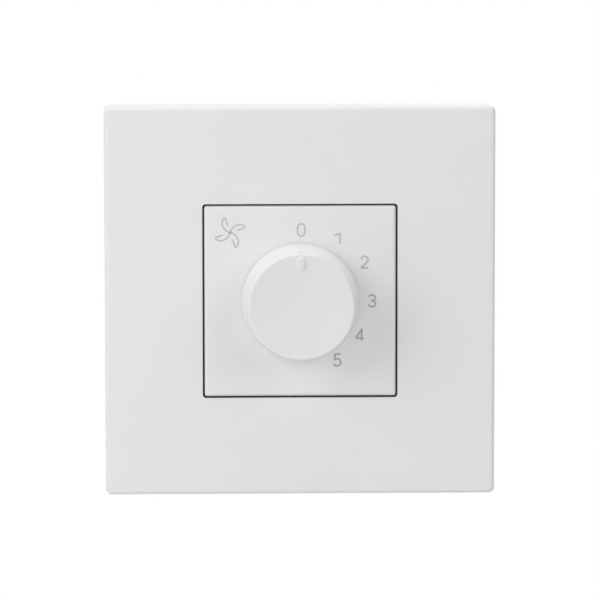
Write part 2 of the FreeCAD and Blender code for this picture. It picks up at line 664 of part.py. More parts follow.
def capacitor(depth, thick, z):
    """Box capacitor with rounded corners, standing on its two leads."""
    y0 = BOARD_REAR_Y + CAPACITOR_STANDOFF
    body = rounded(CAPACITOR_LENGTH, thick, CAPACITOR_EDGE_R, y0, y0 + depth, 0, z)
    leads = [lead(side * CAPACITOR_PITCH / 2, z, y0 + LEAD_W) for side in (-1, 1)]
    return joined([body] + leads)


def lying_resistor(body, x, z, y):
    """Resistor along X with that body, its middle at y and both leads bent down to the board."""
    across = Part.makeBox(
        RESISTOR_PITCH + LEAD_W, LEAD_W, LEAD_W,
        FreeCAD.Vector(x - (RESISTOR_PITCH + LEAD_W) / 2, y - LEAD_W / 2, z - LEAD_W / 2))
    legs = [lead(x + side * RESISTOR_PITCH / 2, z, y) for side in (-1, 1)]
    return joined([body, across] + legs)


def inrush_resistors():
    """Two power resistors in square ceramic bodies."""
    group = []
    y = BOARD_REAR_Y + RESISTOR_LIFT + INRUSH_SIDE / 2
    for x in (-RESISTOR_X, RESISTOR_X):
        body = block(INRUSH_LENGTH, INRUSH_SIDE, y - INRUSH_SIDE / 2, y + INRUSH_SIDE / 2, x, INRUSH_Z)
        group.append(lying_resistor(body, x, INRUSH_Z, y))
    return Part.makeCompound(group)


def bleed_resistors():
    """Two round film resistors."""
    group = []
    y = BOARD_REAR_Y + RESISTOR_LIFT + BLEED_R
    for x in (-RESISTOR_X, RESISTOR_X):
        start = FreeCAD.Vector(x - BLEED_LENGTH / 2, y, BLEED_Z)
        body = Part.makeCylinder(BLEED_R, BLEED_LENGTH, start, ALONG_X)
        group.append(lying_resistor(body, x, BLEED_Z, y))
    return Part.makeCompound(group)


def terminal(x):
    """Brass cage with a square tunnel from behind, a screw hole from below and a tab through the board."""
    cage = block(CAGE_W, CAGE_H, CAGE_Y, CAGE_REAR_Y, x, CAGE_Z)
    tab = block(TAB_W, TAB_T, BOARD_Y - TAB_PROUD, CAGE_Y + FACE_GAP, x, CAGE_Z)
    solid = joined([cage, tab])
    solid = solid.cut(block(TUNNEL_SIDE, TUNNEL_SIDE, CAGE_Y + CAGE_TOP, CAGE_REAR_Y + 1, x, WIRE_Z))
    bottom = FreeCAD.Vector(x, (CAGE_Y + CAGE_REAR_Y) / 2, CAGE_Z - CAGE_H / 2 - 1)
    return solid.cut(Part.makeCylinder(CLAMP_R + TIGHT_GAP, WIRE_Z - bottom.z, bottom, ALONG_Z))


def terminal_screws():
    """Headless screws with a slot, backed out so that both wire holes are free."""
    screws = []
    top = WIRE_Z - TUNNEL_SIDE / 2 - FACE_GAP
    y = (CAGE_Y + CAGE_REAR_Y) / 2
    for side in (-1, 1):
        x = side * TERMINAL_PITCH / 2
        low = FreeCAD.Vector(x, y, top - CLAMP_LENGTH)
        screw = Part.makeCylinder(CLAMP_R, CLAMP_LENGTH, low, ALONG_Z)
        slot = block(CLAMP_SLOT_W, 2 * CLAMP_SLOT_D, y - CLAMP_R, y + CLAMP_R, x, low.z)
        screws.append(screw.cut(slot))
    return Part.makeCompound(screws)


def snap_nose(x, side):
    """Ramp on the upper or lower wall that catches behind the frame's ledge."""
    y0 = LEDGE_Y + LEDGE_T + FACE_GAP
    z = side * (HOUSING_SIDE / 2 - HOUSING_WALL / 2)
    top = side * (HOUSING_SIDE / 2 + NOSE_H)
    points = [
        FreeCAD.Vector(x - NOSE_W / 2, y0, z),
        FreeCAD.Vector(x - NOSE_W / 2, y0, top),
        FreeCAD.Vector(x - NOSE_W / 2, y0 + NOSE_H, top),
        FreeCAD.Vector(x - NOSE_W / 2, y0 + NOSE_LENGTH, side * HOUSING_SIDE / 2),
        FreeCAD.Vector(x - NOSE_W / 2, y0 + NOSE_LENGTH, z),
    ]
    return prism(points, FreeCAD.Vector(NOSE_W, 0, 0))


def rear_housing():
    """Box with screw pillars, a wall between the terminals, wire entries, screw holes and snap noses."""
    corner_r = HOUSING_EDGE_R + CORNER_EXTRA
    box = rounded(HOUSING_SIDE, HOUSING_SIDE, corner_r, SPLIT_Y, REAR_Y)
    rear_edges = [e for e in box.Edges if all(abs(v.Y - REAR_Y) < 1e-6 for v in e.Vertexes)]
    box = box.makeChamfer(HOUSING_EDGE_R, rear_edges)
    box = box.cut(block(HOUSING_INNER, HOUSING_INNER, SPLIT_Y, INSIDE_Y))
    side = 2 * (POST_R + PILLAR_EXTRA)
    parts = [box]
    for x, z in corners(POST_AT):
        parts.append(block(side, side, BOARD_REAR_Y + FACE_GAP, INSIDE_Y + FACE_GAP, x, z))
    barrier_top = CAGE_Z + CAGE_H / 2
    barrier_h = barrier_top + HOUSING_INNER / 2 + HOUSING_WALL / 2
    parts.append(block(BARRIER_T, barrier_h, CAGE_Y, INSIDE_Y + FACE_GAP, 0, barrier_top - barrier_h / 2))
    parts += [snap_nose(x, side) for x in (-NOSE_X, NOSE_X) for side in (-1, 1)]
    solid = joined(parts)
    for x, z in screw_places():
        solid = solid.cut(rod(SCREW_R + SCREW_FREE_GAP, BOARD_REAR_Y, REAR_Y + 1, x, z))
        solid = solid.cut(rod(SCREW_HEAD_R + SCREW_FREE_GAP, REAR_Y - SCREW_HEAD_T - HEAD_SINK, REAR_Y + 1, x, z))
    y = (CAGE_Y + CAGE_REAR_Y) / 2
    for side in (-1, 1):
        x = side * TERMINAL_PITCH / 2
        solid = solid.cut(rod(WIRE_ENTRY_R, INSIDE_Y - 1, REAR_Y + 1, x, WIRE_Z))
        low = FreeCAD.Vector(x, y, -HOUSING_SIDE / 2 - 1)
        access = Part.makeCylinder(CLAMP_R + ACCESS_GAP, HOUSING_WALL + 2, low, ALONG_Z)
        solid = solid.cut(access)
    gauge = block(GAUGE_LENGTH, GAUGE_W, REAR_Y - GAUGE_DEPTH, REAR_Y + 1)
    return solid.cut(gauge)


def housing_screws():
    """Two long screws with a cross recess, from behind into posts of the dial cover."""
    screws = []
    seat = REAR_Y - SCREW_HEAD_T - HEAD_SINK + FACE_GAP
    top = seat + SCREW_HEAD_T
    for x, z in screw_places():
        shank = rod(SCREW_R, BOARD_Y - SCREW_BITE, seat + FACE_GAP, x, z)
        head = rod(SCREW_HEAD_R, seat, top, x, z)
        upright = block(SCREW_RECESS_W, SCREW_RECESS_L, top - SCREW_RECESS_D, top + 1, x, z)
        level = block(SCREW_RECESS_L, SCREW_RECESS_W, top - SCREW_RECESS_D, top + 1, x, z)
        screws.append(joined([shank, head]).cut(upright.fuse(level)))
    return Part.makeCompound(screws)


PIECES = {
    "cover_plate": cover_plate,
    "support_frame": support_frame,
    "dial_cover": dial_cover,
    "knob": knob,
    "knob_grip_spring": knob_grip_spring,
    "switch_shaft": switch_shaft,
    "rotor": rotor,
    "detent_spring": detent_spring,
    "wiper_contact": wiper_contact,
    "contact_wafer": contact_wafer,
    "step_contacts": step_contacts,
    "common_contact": common_contact,
    "circuit_board": circuit_board,
    "main_capacitor": lambda: capacitor(MAIN_DEPTH, MAIN_THICK, MAIN_Z),
    "trim_capacitor": lambda: capacitor(TRIM_DEPTH, TRIM_THICK, TRIM_Z),
    "inrush_resistors": inrush_resistors,
    "bleed_resistors": bleed_resistors,
    "line_terminal": lambda: terminal(-TERMINAL_PITCH / 2),
    "fan_terminal": lambda: terminal(TERMINAL_PITCH / 2),
    "terminal_screws": terminal_screws,
    "rear_housing": rear_housing,
    "housing_screws": housing_screws,
}

os.makedirs("parts", exist_ok=True)
for name, make in PIECES.items():
    make().exportStep("parts/" + name + ".step")
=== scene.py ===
"""Looks of a five-speed fan switch behind a square wall plate, built round its packed construction model.

Lengths are in metres. The wall is the plane y = 0, the room is at -Y, +X is to the right and +Z is up.
"""

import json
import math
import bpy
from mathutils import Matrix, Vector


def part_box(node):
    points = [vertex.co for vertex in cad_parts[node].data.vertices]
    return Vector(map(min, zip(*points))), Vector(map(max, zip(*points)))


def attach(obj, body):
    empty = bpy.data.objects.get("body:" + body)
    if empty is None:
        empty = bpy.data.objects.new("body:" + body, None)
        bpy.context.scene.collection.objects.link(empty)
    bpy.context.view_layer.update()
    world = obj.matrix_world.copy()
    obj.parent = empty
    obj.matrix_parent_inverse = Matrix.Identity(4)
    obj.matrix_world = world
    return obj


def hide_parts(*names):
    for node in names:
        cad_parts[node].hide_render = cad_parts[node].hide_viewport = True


bl_info = {
    "name": "Fan Speed Switch",
    "version": (1, 0, 0),
    "blender": (4, 5, 0),
    "location": "3D View > Sidebar > Fan Switch",
    "description": "Knob, printed scale, finishes and studio of a rotary fan speed switch",
    "category": "Object",
}

import bmesh
import bpy
import numpy as np
from bpy.props import FloatProperty, FloatVectorProperty, IntProperty, PointerProperty
from mathutils import Matrix, Vector

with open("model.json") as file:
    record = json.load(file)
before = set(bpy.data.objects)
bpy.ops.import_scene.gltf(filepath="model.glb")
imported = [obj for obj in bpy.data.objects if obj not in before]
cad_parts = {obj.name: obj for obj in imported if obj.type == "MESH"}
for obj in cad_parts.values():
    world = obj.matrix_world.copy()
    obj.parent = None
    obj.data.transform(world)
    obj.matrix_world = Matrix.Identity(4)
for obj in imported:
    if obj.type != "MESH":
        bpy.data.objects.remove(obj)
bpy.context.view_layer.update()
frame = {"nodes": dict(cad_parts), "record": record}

MM = 0.001
WALL_BODY = "switch_body"
KNOB_BODY = "turning_knob"


def length(label, about, default):
    """Property for a length in metres."""
    return FloatProperty(name=label, description=about, default=default, unit="LENGTH", precision=5)


def colour(label, about, level):
    """Property for a plain colour, written as linear red, green and blue."""
    return FloatVectorProperty(
        name=label, description=about, subtype="COLOR", size=3, min=0.0, max=1.0, default=level)


def amount(label, about, default):
    """Property for a plain number."""
    return FloatProperty(name=label, description=about, default=default)


class KnobSizes(bpy.types.PropertyGroup):
    """Sizes of the turned form of the knob and of its pointer."""

    base_radius: length("Base radius", "Outside radius of the knob's foot", 13.7 * MM)
    front_radius: length("Front radius", "Outside radius where side and front would meet", 12.45 * MM)
    front: length("Front", "Depth of the front rim", -20.7 * MM)
    base: length("Base", "Depth of the foot, just off the dial", -8.38 * MM)
    edge_radius: length("Edge radius", "Radius of the round edge between side and front", 0.5 * MM)
    foot_radius: length("Foot radius", "Radius of the small round at the foot", 0.45 * MM)
    dish: length("Dish", "How far the middle of the front is sunk", 0.65 * MM)
    core_radius: length("Core radius", "Radius of the hollow inside", 10.85 * MM)
    inside: length("Inside", "Depth of the hollow's end", -18.7 * MM)
    hub_radius: length("Hub radius", "Outside radius of the hub", 4.9 * MM)
    hub_end: length("Hub end", "Depth of the hub's rear end", -11.7 * MM)
    bore_radius: length("Bore radius", "Radius of the bore for the shaft", 3.05 * MM)
    pointer_width: length("Pointer width", "Width of the raised pointer at half its height", 1.65 * MM)
    pointer_inner: length("Pointer inner", "Radius of the pointer's inner end at half its height", 8.5 * MM)
    pointer_outer: length("Pointer outer", "Radius of the pointer's outer end at half its height", 11.5 * MM)
    pointer_flank: length("Pointer flank", "Width of the soft slope round the pointer", 0.85 * MM)
    pointer_raise: length("Pointer raise", "Height of the pointer over the knob", 0.42 * MM)
    index_width: length("Index width", "Width of the shallow notch in the side", 1.5 * MM)
    index_start: length("Index start", "From the front to the notch", 0.5 * MM)
    index_length: length("Index length", "Length of the notch down the side", 1.6 * MM)
    index_depth: length("Index depth", "How far the notch is sunk", 0.35 * MM)
    ribs: IntProperty(name="Ribs", description="Ribs between hub and wall", default=6, min=0, max=24)
    rib_width: length("Rib width", "Thickness of a rib", 1.0 * MM)
    rib_height: length("Rib height", "How far a rib stands up from the hollow's end", 4.5 * MM)
    segments: IntProperty(name="Segments", description="Steps round the knob", default=240, min=24, max=512)


class DialPrint(bpy.types.PropertyGroup):
    """Sizes of the printed scale and symbol."""

    face: length("Face", "Depth of the dial's face", -8.2 * MM)
    stroke: length("Stroke", "Width of the printed lines", 0.40 * MM)
    film: length("Film", "Thickness of the ink", 0.012 * MM)
    height: length("Height", "Height of a number between the middles of its lines", 2.84 * MM)
    width: length("Width", "Width of a number between the middles of its lines", 1.72 * MM)
    symbol_reach: length("Symbol reach", "Radius of the circle through the blades' tips", 3.7 * MM)


class WireMarks(bpy.types.PropertyGroup):
    """Sizes of the raised marks beside the wire entries."""

    face: length("Face", "Depth of the housing's rear face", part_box("rear_housing")[1][1])
    relief: length("Relief", "How far a mark stands up", 0.22 * MM)
    stroke: length("Stroke", "Width of its lines", 0.42 * MM)
    height: length("Height", "Height of the letter", 2.8 * MM)
    symbol_reach: length("Symbol reach", "Radius of the circle through the blades' tips", 2.1 * MM)
    apart: length("Apart", "From the middle to a wire entry", 8.0 * MM)
    level: length("Level", "Height of the marks' middles", -9.9 * MM)


class Colours(bpy.types.PropertyGroup):
    """Colours of the visible mouldings and of the ink."""

    white: colour("White", "Plate and dial", (0.802, 0.80, 0.797))
    knob_white: colour("Knob white", "Knob, a little darker than the plate", (0.79, 0.79, 0.79))
    # The two inks are one print in painted light and shade: paler high on the dial, where light falls, and
    # darker low on it, in the knob's shadow.
    ink: colour("Ink", "Numbers low on the dial", (0.40, 0.40, 0.40))
    painted_lit_ink: colour("Thin ink", "Numbers and symbol high on the dial", (0.52, 0.52, 0.52))
    black: colour("Black", "Support frame", (0.012, 0.012, 0.013))
    grey: colour("Grey", "Rear housing", (0.36, 0.37, 0.38))


class StudioLevels(bpy.types.PropertyGroup):
    """Light and camera of the studio."""

    ambient: amount("Ambient", "Strength of the even light all round", 0.2)
    left: amount("Left", "Power of the soft lamp high at the left, in watts", 2.33)
    left_near: amount("Left near", "Power of the soft lamp near by at the left, in watts", 0.30)
    right: amount("Right", "Power of the soft lamp far at the right, in watts", 6.74)
    top: amount("Top", "Power of the soft lamp overhead, in watts", 2.48)
    front: amount("Front", "Power of the soft lamp by the camera, in watts", 2.11)
    rear: amount("Rear", "Power of the soft lamp behind the wall side, in watts", 2.5)
    distance: length("Distance", "From the camera to the wall plane", 1.018)
    azimuth: amount("Azimuth", "Degrees to the right of straight on", -1.53)
    elevation: amount("Elevation", "Degrees above straight on", 6.63)
    roll: amount("Roll", "Turn of the camera in degrees", -0.066)
    lens: amount("Lens", "Focal length in millimetres", 258.3)
    floor: length("Floor", "Height of the floor", -0.25)


# How near points are merged, and the length under which an edge is dropped
MERGE_REACH = 1e-7
SHORT_EDGE = 1e-8


def sheet_faces(rows, columns, close_columns=False):
    """Quads of a grid: each joins a point to its neighbours along the row and the column."""
    row, column = np.meshgrid(
        np.arange(rows - 1), np.arange(columns if close_columns else columns - 1), indexing="ij")
    next_row = row + 1
    next_column = (column + 1) % columns
    quads = [row * columns + column, row * columns + next_column,
             next_row * columns + next_column, next_row * columns + column]
    return np.stack(quads, axis=-1).reshape(-1, 4)


def finished_piece(name, shells, body, material, sharp=35.0):
    """Object from shells of points and quads, merged, with its faces outwards, riding on a body."""
    points = np.concatenate([shell[0].reshape(-1, 3) for shell in shells])
    counts = np.cumsum([0] + [shell[0].size // 3 for shell in shells])
    faces = np.concatenate([shell[1] + start for shell, start in zip(shells, counts)])
    mesh = bpy.data.meshes.new(name)
    mesh.from_pydata(points.tolist(), [], faces.tolist())
    work = bmesh.new()
    work.from_mesh(mesh)
    bmesh.ops.remove_doubles(work, verts=work.verts, dist=MERGE_REACH)
    bmesh.ops.dissolve_degenerate(work, edges=work.edges, dist=SHORT_EDGE)
    bmesh.ops.recalc_face_normals(work, faces=work.faces)
    work.to_mesh(mesh)
    work.free()
    mesh.shade_smooth()
    mesh.set_sharp_from_angle(angle=math.radians(sharp))
    mesh.materials.append(material)
    piece = bpy.data.objects.new(name, mesh)
    bpy.context.scene.collection.objects.link(piece)
    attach(piece, body)
    return piece


def smooth_step(share):
    """Rises from 0 to 1 with level ends, three squares less two cubes of the share held between 0 and 1."""
    share = np.clip(share, 0, 1)
    return share * share * (3 - 2 * share)


def bow(centre, reach, start, end, count=25):
    """Part of an ellipse, from one angle to the other in degrees, anticlockwise from the right."""
    angle = np.radians(np.linspace(start, end, count))
    return np.stack([centre[0] + reach[0] * np.cos(angle), centre[1] + reach[1] * np.sin(angle)], axis=-1)


def round_edge(centre, radius, start, end, count):
    """Part of a circle about the centre, from one angle to the other in degrees."""
    return bow(centre, (radius, radius), start, end, count)


# Rows of the knob's profile on its front, its edge, its side and its foot
FRONT_ROWS = 40
EDGE_ROWS = 18
SIDE_ROWS = 80
FOOT_ROWS = 6
# How the rows crowd towards the rim and the steps towards the top
RIM_CROWDING = 0.8
TOP_CROWDING = 0.7
# Angle at which the round of the foot starts, in degrees
FOOT_START = 15
# Width of the notch's soft sides
NOTCH_SOFT = 0.1 * MM
# Points round an end and along a side of the pointer, and rings up its slope
END_POINTS = 25
RUN_POINTS = 29
SLOPE_RINGS = 15
# How far the pointer reaches under the front, and its height where the slope starts
POINTER_SUNK = 0.15 * MM
POINTER_START = 0.01 * MM
# How far a rib reaches into hub and wall, and into the hollow's end
RIB_OVERLAP = 0.3 * MM
RIB_ROOT = 0.2 * MM


def knob_skin(knob):
    """Outer profile of the knob from the middle of its front to its foot.

    A shallow ball surface, a quarter round tangent to the front and to the side, then the straight taper.
    """
    taper = math.atan2(knob.base_radius - knob.front_radius, knob.base - knob.front)
    back = knob.edge_radius * math.tan((math.pi / 2 - taper) / 2)
    rim = knob.front_radius - back
    ball = (rim ** 2 + knob.dish ** 2) / (2 * knob.dish)
    radius = rim * np.linspace(0, 1, FRONT_ROWS) ** RIM_CROWDING
    depth = knob.front + knob.dish - ball + np.sqrt(ball ** 2 - radius ** 2)
    front = np.stack([radius, depth], axis=-1)
    edge_centre = (rim, knob.front + knob.edge_radius)
    edge = round_edge(edge_centre, knob.edge_radius, -90, math.degrees(-taper), EDGE_ROWS)
    foot_side = knob.base_radius - knob.foot_radius * math.sin(taper)
    along = np.linspace(0, 1, SIDE_ROWS)[1:, None]
    side_end = np.array([foot_side, knob.base - knob.foot_radius])
    side = edge[-1] + along * (side_end - edge[-1])
    return np.concatenate([front, edge[1:], side])


def knob_inside(knob):
    """Inner profile of the knob from its foot to the end of the bore: wall, hollow, hub and bore."""
    foot_centre = (knob.base_radius - knob.foot_radius, knob.base - knob.foot_radius)
    foot = round_edge(foot_centre, knob.foot_radius, FOOT_START, 90, FOOT_ROWS)
    corners = [
        (knob.core_radius, knob.base), (knob.core_radius, knob.inside), (knob.hub_radius, knob.inside),
        (knob.hub_radius, knob.hub_end), (knob.bore_radius, knob.hub_end), (knob.bore_radius, knob.inside),
        (0.0, knob.inside)]
    return np.concatenate([foot, np.array(corners)])


def knob_shell(knob):
    """Profile of the knob turned about the Y axis, with the index notch pressed into its side.

    The angle is u less a share of the sine of u, for even steps of u, so that the steps are closest at the
    top. The notch takes its depth off the radius inside a small rectangle with soft sides, on the side only.
    """
    skin = knob_skin(knob)
    profile = np.concatenate([skin, knob_inside(knob)])
    even = np.linspace(-np.pi, np.pi, knob.segments, endpoint=False)
    angle = even - TOP_CROWDING * np.sin(even)
    radius, depth = profile[:, :1], profile[:, 1:]
    middle = knob.front + knob.index_start + knob.index_length / 2
    across = smooth_step((knob.index_width / 2 - np.abs(radius * angle)) / NOTCH_SOFT + 0.5)
    down = smooth_step((knob.index_length / 2 - np.abs(depth - middle)) / NOTCH_SOFT + 0.5)
    down[:FRONT_ROWS] = 0
    down[len(skin):] = 0
    radius = radius - knob.index_depth * across * down
    points = np.stack(np.broadcast_arrays(radius * np.sin(angle), depth, radius * np.cos(angle)), axis=-1)
    return points, sheet_faces(len(profile), knob.segments, close_columns=True)


def pointer_shell(knob):
    """Soft raised bar with round ends on the knob's dished front.

    Every ring is the outline of the bar, its middle line plus a half width times the direction outwards. From
    ring to ring the half width shrinks by an even share of the flank, and the height over the front rises by
    a smooth step. The last ring closes on the middle line, and the first ones close the bar below the skin.
    """
    skin = knob_skin(knob)[:FRONT_ROWS]
    half = (knob.pointer_width + knob.pointer_flank) / 2
    nominal = knob.pointer_width / 2
    inner, outer = knob.pointer_inner + nominal, knob.pointer_outer - nominal
    turn = np.linspace(0, np.pi, END_POINTS)
    run = np.linspace(0, 1, RUN_POINTS + 2)[1:-1]
    still = np.zeros(RUN_POINTS)
    middle = np.concatenate([
        np.full(END_POINTS, outer), outer + run * (inner - outer),
        np.full(END_POINTS, inner), inner + run * (outer - inner)])
    along = np.concatenate([np.sin(turn), still, -np.sin(turn), still])
    across = np.concatenate([np.cos(turn), still - 1, -np.cos(turn), still + 1])
    share = np.linspace(0, 1, SLOPE_RINGS)
    reach = np.concatenate([[0.0, half], half - share * knob.pointer_flank, [0.0]])[:, None]
    lift = POINTER_START + knob.pointer_raise * smooth_step(share)
    height = np.concatenate([[-POINTER_SUNK, -POINTER_SUNK], lift, lift[-1:]])[:, None]
    x = reach * across
    z = middle + reach * along
    front = np.interp(np.hypot(x, z), skin[:, 0], skin[:, 1])
    points = np.stack([x, front - height, z], axis=-1)
    return points, sheet_faces(len(points), points.shape[1], close_columns=True)


def rib_shells(knob):
    """Straight ribs from the hub to the wall: the corners of one box, turned about the axis by even steps."""
    inner = knob.hub_radius - RIB_OVERLAP
    outer = knob.core_radius + RIB_OVERLAP
    front = knob.inside - RIB_ROOT
    rear = knob.inside + knob.rib_height
    side, radius, depth = np.meshgrid(
        np.array((-0.5, 0.5)) * knob.rib_width, (inner, outer), (front, rear), indexing="ij")
    quads = np.array([[0, 1, 3, 2], [4, 5, 7, 6], [0, 1, 5, 4], [2, 3, 7, 6], [0, 2, 6, 4], [1, 3, 7, 5]])
    shells = []
    for turn in np.arange(knob.ribs) * 2 * np.pi / knob.ribs:
        x = side * np.cos(turn) + radius * np.sin(turn)
        z = radius * np.cos(turn) - side * np.sin(turn)
        shells.append((np.stack([x, depth, z], axis=-1).reshape(-1, 3), quads))
    return shells


# Points on the round of a stroke's end, and the half width at its very tip as a share of the full one
CAP_POINTS = 6
TIP_SHARE = 0.02
# Thickness that each printed stroke has over the one before, in films of ink
INK_STEP = 0.3
# Steps of a straight run
LINE_STEPS = 8


def stroke_shell(path, width, front, rear):
    """Line with round ends: a rectangle carried along a flat path of (x, z) points.

    The path is drawn out by half the width at both ends, and there the half width follows a circle.
    """
    half = width / 2
    path = np.asarray(path, dtype=float)
    first = path[0] - path[1]
    last = path[-1] - path[-2]
    first /= np.linalg.norm(first)
    last /= np.linalg.norm(last)
    ease = (1 - np.cos(np.linspace(0, np.pi / 2, CAP_POINTS)))[:, None] * half
    path = np.concatenate([
        path[0] + first * (half - ease), path[1:-1], path[-1] + last * (half - ease[::-1])])
    step = np.hypot(*np.diff(path, axis=0).T)
    travel = np.concatenate([[0], np.cumsum(step)])
    tangent = np.gradient(path, travel, axis=0)
    tangent /= np.linalg.norm(tangent, axis=1)[:, None]
    side = np.stack([-tangent[:, 1], tangent[:, 0]], axis=-1)
    end = np.minimum(np.minimum(travel, travel[-1] - travel), half)
    reach = np.sqrt(np.maximum(half ** 2 - (half - end) ** 2, (TIP_SHARE * half) ** 2))[:, None]
    left = path + side * reach
    right = path - side * reach
    ring = [(left, front), (right, front), (right, rear), (left, rear)]
    points = np.stack([np.stack([p[:, 0], np.full(len(p), y), p[:, 1]], axis=-1) for p, y in ring], axis=1)
    faces = sheet_faces(len(path), 4, close_columns=True)
    last_row = 4 * (len(path) - 1)
    caps = np.array([[0, 1, 2, 3], [last_row, last_row + 1, last_row + 2, last_row + 3]])
    return points, np.concatenate([faces, caps])


def layered_shells(strokes, outer, inner, step):
    """Shells of the strokes, each thicker both ways than the last, so that crossing lines share no face."""
    steps = step * np.arange(len(strokes))
    return [
        stroke_shell(path, width, outer + more, inner - more) for (path, width), more in zip(strokes, steps)]


def ink_shells(strokes, dial):
    """Shells of printed strokes on the dial's face."""
    return layered_shells(strokes, dial.face - dial.film, dial.face + dial.film, -INK_STEP * dial.film)


def line(*stops):
    """Straight runs through the stops, each divided into short steps."""
    stops = np.array(stops, dtype=float)
    share = np.linspace(0, 1, LINE_STEPS + 1)[:-1, None]
    runs = [a + share * (b - a) for a, b in zip(stops[:-1], stops[1:])]
    return np.concatenate(runs + [stops[-1:]])


# Power that makes the loop of the zero squarer than an ellipse
ZERO_POWER = 0.74


def number_paths():
    """Paths of the numbers 0 to 5 in a box from -1 to 1 each way, each a list of strokes."""
    circle = bow((0, 0), (1, 1), 90, 450, 61)
    zero = np.sign(circle) * np.abs(circle) ** ZERO_POWER
    low = len(zero) // 2
    two_end = (-0.90, -0.90)
    two = np.concatenate([bow((0.02, 0.42), (0.86, 0.58), 172, -38, 31), line((0.70, 0.06), two_end)[1:]])
    three_top = bow((0.0, 0.50), (0.86, 0.50), 152, -90, 31)
    three_low = bow((0.0, -0.46), (0.94, 0.54), 90, -156, 33)
    five_bowl = bow((-0.06, -0.40), (1.0, 0.60), 128, -148, 37)
    return [
        [zero[:low + 1], zero[low:]],
        [line((-0.74, 0.56), (0.66, 0.90)), line((0.66, 0.90), (0.66, -0.82))],
        [two, line(two_end, (0.80, -0.94))],
        [three_top, three_low],
        [line((0.55, 1.0), (-0.98, -0.46), (0.98, -0.46)), line((0.55, 1.0), (0.55, -0.80))],
        [line((0.72, 0.98), (-0.66, 0.98), (-0.74, 0.02)), five_bowl],
    ]


def bent(start, pull_start, pull_end, end, count=33):
    """Cubic curve between two points, drawn towards two others: the four summed by cubic weights."""
    t = np.linspace(0, 1, count)[:, None]
    weights = ((1 - t) ** 3, 3 * t * (1 - t) ** 2, 3 * t ** 2 * (1 - t), t ** 3)
    return sum(w * np.array(p, dtype=float) for w, p in zip(weights, (start, pull_start, pull_end, end)))


def fan_paths(reach):
    """Four equal blades about the middle: each bows out to its tip and comes part of the way back."""
    tip = np.array((-0.33, 0.944))
    out = bent((0, 0), (-0.43, 0.08), (-0.73, 0.70), tip)
    back = bent(tip, (-0.26, 0.80), (-0.21, 0.62), (-0.15, 0.48), 17)
    paths = []
    for quarter in range(4):
        turn = math.radians(90 * quarter)
        spin = np.array(((math.cos(turn), math.sin(turn)), (-math.sin(turn), math.cos(turn))))
        paths += [reach * out @ spin, reach * back @ spin]
    return paths


# Scales of the noise patterns, on coordinates in metres
MOULD_GRAIN = 2200.0
FLOW_SCALE = 70.0
STREAK_SCALE = 5200.0
TARNISH_SCALE = 420.0
# Shares of slow flow marks and fine grain in the gloss of a moulding
FLOW_SHARE = 0.7
GRAIN_SHARE = 0.3
# How much the streaks of worked metal are drawn out, along the depth
STREAK_STRETCH = (1.0, 0.08, 1.0)


def surface_group(name, inputs):
    """Shader group that gives colour, roughness and height, with its inputs and the object's coordinates."""
    group = bpy.data.node_groups.new(name, "ShaderNodeTree")
    for label, value in inputs.items():
        kind = "NodeSocketColor" if isinstance(value, tuple) else "NodeSocketFloat"
        socket = group.interface.new_socket(name=label, in_out="INPUT", socket_type=kind)
        socket.default_value = value
    for label, kind in (("Colour", "Color"), ("Roughness", "Float"), ("Height", "Float")):
        group.interface.new_socket(name=label, in_out="OUTPUT", socket_type="NodeSocket" + kind)
    enter = group.nodes.new("NodeGroupInput").outputs
    leave = group.nodes.new("NodeGroupOutput").inputs
    place = group.nodes.new("ShaderNodeTexCoord").outputs["Object"]
    return group, enter, leave, place


def noise(tree, vector, scale, detail, rough):
    """Noise texture on the given coordinates."""
    node = tree.nodes.new("ShaderNodeTexNoise")
    node.inputs["Detail"].default_value = detail
    node.inputs["Roughness"].default_value = rough
    tree.links.new(vector, node.inputs["Vector"])
    if isinstance(scale, float):
        node.inputs["Scale"].default_value = scale
    else:
        tree.links.new(scale, node.inputs["Scale"])
    return node.outputs["Fac"]


def math_node(tree, operation, first, second):
    """Math on two values, each a socket or a number."""
    node = tree.nodes.new("ShaderNodeMath")
    node.operation = operation
    for socket, value in zip(node.inputs, (first, second)):
        if isinstance(value, (int, float)):
            socket.default_value = value
        else:
            tree.links.new(value, socket)
    return node.outputs["Value"]


def swing(tree, pattern, reach):
    """Change about zero: the pattern less one half, times the reach."""
    return math_node(tree, "MULTIPLY", math_node(tree, "SUBTRACT", pattern, 0.5), reach)


def moulded_group():
    """Moulded plastic: fine grain of the tool, slow flow marks in the gloss and a faint change of tone."""
    group, enter, leave, place = surface_group("moulded_surface", {
        "Colour": (0.8, 0.8, 0.8, 1.0), "Roughness": 0.4, "Grain": MOULD_GRAIN,
        "Gloss Change": 0.08, "Tone Change": 0.02})
    fine = noise(group, place, enter["Grain"], 2.0, 0.6)
    flow = noise(group, place, FLOW_SCALE, 3.0, 0.55)
    slow_gloss = math_node(group, "MULTIPLY", flow, FLOW_SHARE)
    fine_gloss = math_node(group, "MULTIPLY", fine, GRAIN_SHARE)
    gloss = swing(group, math_node(group, "ADD", slow_gloss, fine_gloss), enter["Gloss Change"])
    tone = swing(group, flow, enter["Tone Change"])
    shade = group.nodes.new("ShaderNodeHueSaturation")
    group.links.new(enter["Colour"], shade.inputs["Color"])
    group.links.new(math_node(group, "ADD", tone, 1.0), shade.inputs["Value"])
    group.links.new(shade.outputs["Color"], leave["Colour"])
    group.links.new(math_node(group, "ADD", gloss, enter["Roughness"]), leave["Roughness"])
    group.links.new(fine, leave["Height"])
    return group


